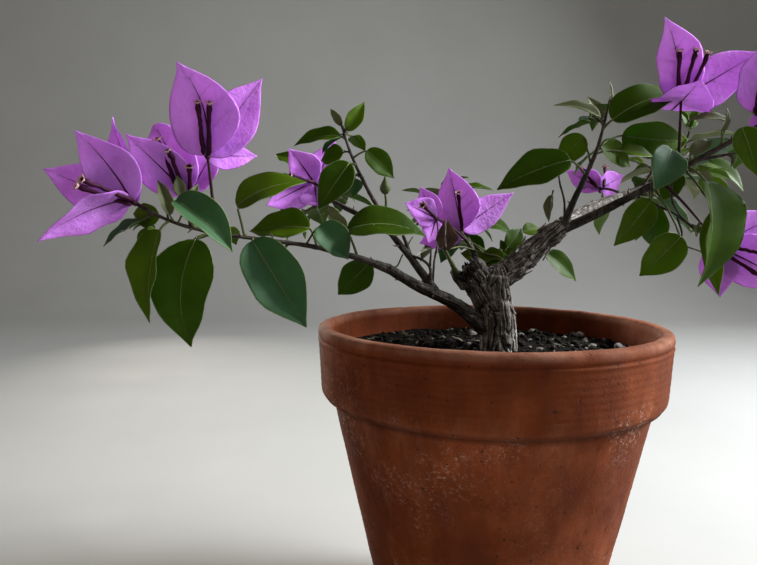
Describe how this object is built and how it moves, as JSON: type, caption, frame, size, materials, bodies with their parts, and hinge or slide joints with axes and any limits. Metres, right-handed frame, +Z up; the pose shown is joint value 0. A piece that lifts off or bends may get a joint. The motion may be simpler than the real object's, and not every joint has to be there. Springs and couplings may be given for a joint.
{
  "type": "bougainvillea bush in a terracotta pot",
  "caption": "Young trained bougainvillea with a forked woody trunk, spreading leafy boughs and violet bracts, in a round banded terracotta pot that stands on its flat foot.",
  "frame": {"origin": "centre of the pot's flat underside", "axes": "+Z up along the pot's axis, +X towards the longest bough on the right of the pictured view, +Y away from the viewer"},
  "size_m": [0.3798, 0.2052, 0.307],
  "materials": {
    "terracotta": "matt fired clay with lime bloom",
    "soil": "crumbly dark potting mix",
    "bark": "furrowed grey-brown bark",
    "leaf": "soft satin leaf",
    "bract": "papery bract"
  },
  "bodies": {
    "root": {"pot": "terracotta", "soil": "soil", "trunk": "bark", "left_bough": "bark", "left_upper_bough": "bark", "left_back_bough": "bark", "centre_back_bough": "bark", "right_bough": "bark", "right_long_bough": "bark", "right_upright_bough": "bark", "right_back_bough": "bark", "bloom_left_low": "bract", "bloom_left_middle": "bract", "bloom_left_high": "bract", "bloom_left_back": "bract", "bloom_centre": "bract", "bloom_centre_low": "bract", "bloom_right_high": "bract", "bloom_right_end": "bract", "bloom_right_low": "bract", "bloom_right_back": "bract", "left_spray": "leaf", "left_upper_spray": "leaf", "left_back_spray": "leaf", "centre_back_spray": "leaf", "right_long_spray": "leaf", "right_upright_spray": "leaf", "right_back_spray": "leaf"}
  },
  "joints": []
}
